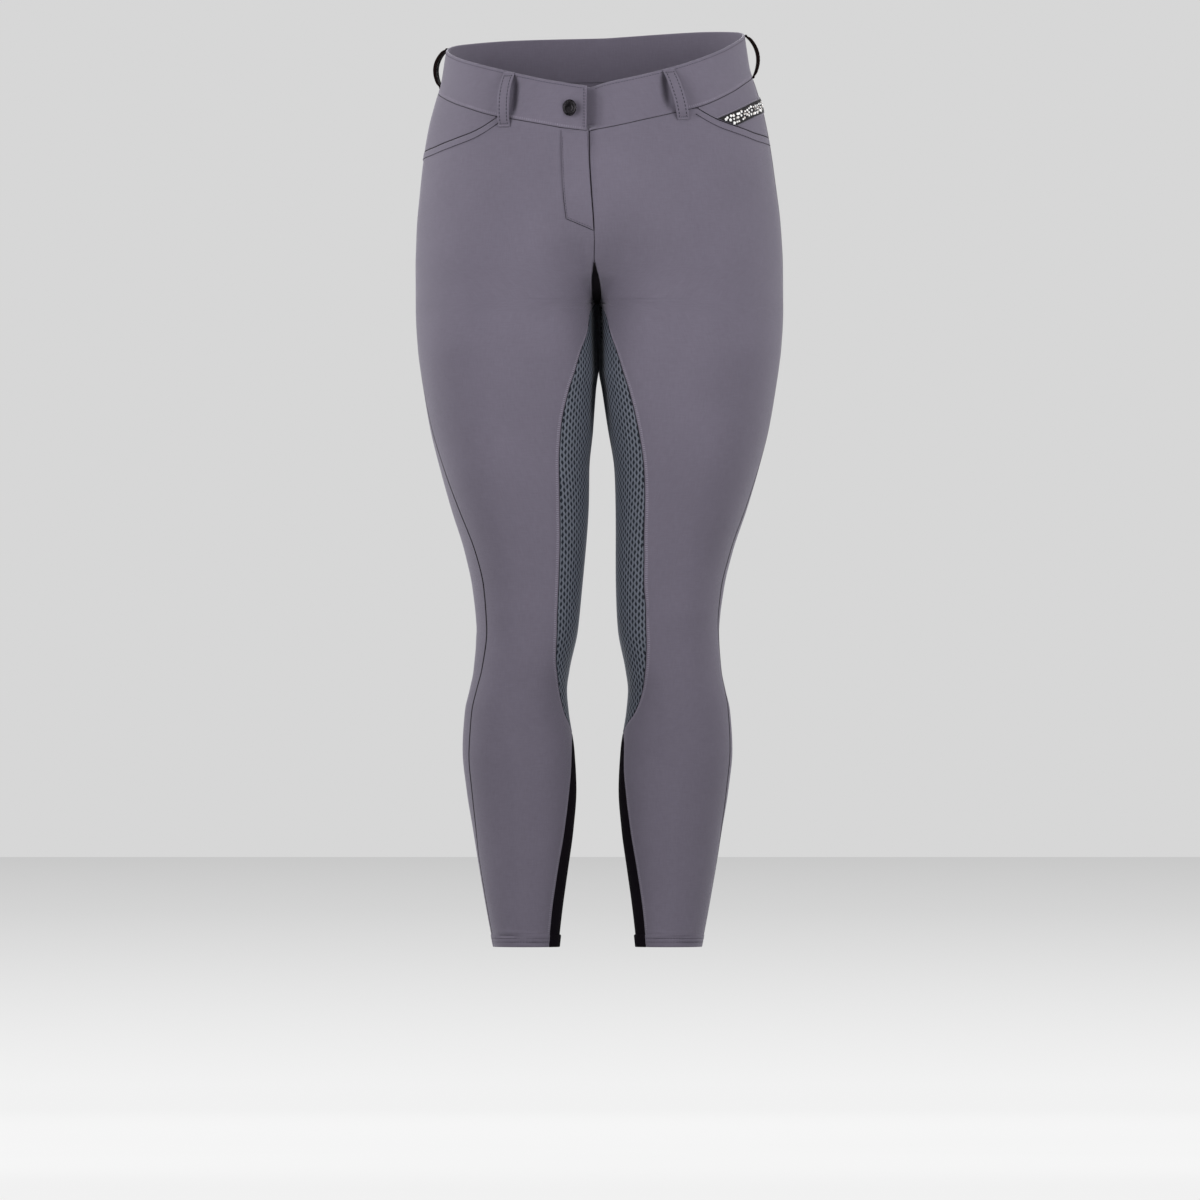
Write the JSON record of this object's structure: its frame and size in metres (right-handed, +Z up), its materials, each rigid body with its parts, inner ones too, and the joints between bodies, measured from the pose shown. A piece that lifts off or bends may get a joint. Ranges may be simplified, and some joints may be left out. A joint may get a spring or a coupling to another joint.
{
  "type": "riding_breeches",
  "caption": "Women's riding breeches, worn shape with no wearer: wide waistband, fly, belt loops, front pockets, full-seat grip panels, elastic calf inserts and a crystal-trimmed pocket.",
  "frame": {"origin": "the middle of the waist, on the midline between the hips and 42 mm above the waist seam at the centre front, where the garment is held", "axes": "+Z up along the standing garment, front facing -Y, the wearer's left at +X"},
  "size_m": [0.3677, 0.246, 0.9164],
  "materials": {
    "stretch_cloth": "smooth matt grey-violet stretch cloth",
    "grip_cloth": "dark cloth printed with a raised slate silicone net",
    "black_elastic": "fine matt black elastic",
    "dark_loop": "smooth dark brown-black strap with a low shine",
    "button_metal": "dark polished gunmetal",
    "crystal_trim": "black band set with small clear crystals"
  },
  "bodies": {
    "root": {"waistband": "stretch_cloth", "front_left": "stretch_cloth", "front_right": "stretch_cloth", "back_left": "stretch_cloth", "back_right": "stretch_cloth", "grip_left": "grip_cloth", "grip_right": "grip_cloth", "calf_insert_left": "black_elastic", "calf_insert_right": "black_elastic", "pocket_facing_left": "stretch_cloth", "pocket_facing_right": "stretch_cloth", "fly": "stretch_cloth", "belt_loop_front_left": "stretch_cloth", "belt_loop_front_right": "stretch_cloth", "belt_loop_side_left": "dark_loop", "belt_loop_side_right": "dark_loop", "crystal_band": "crystal_trim", "waist_button": "button_metal"}
  },
  "joints": []
}
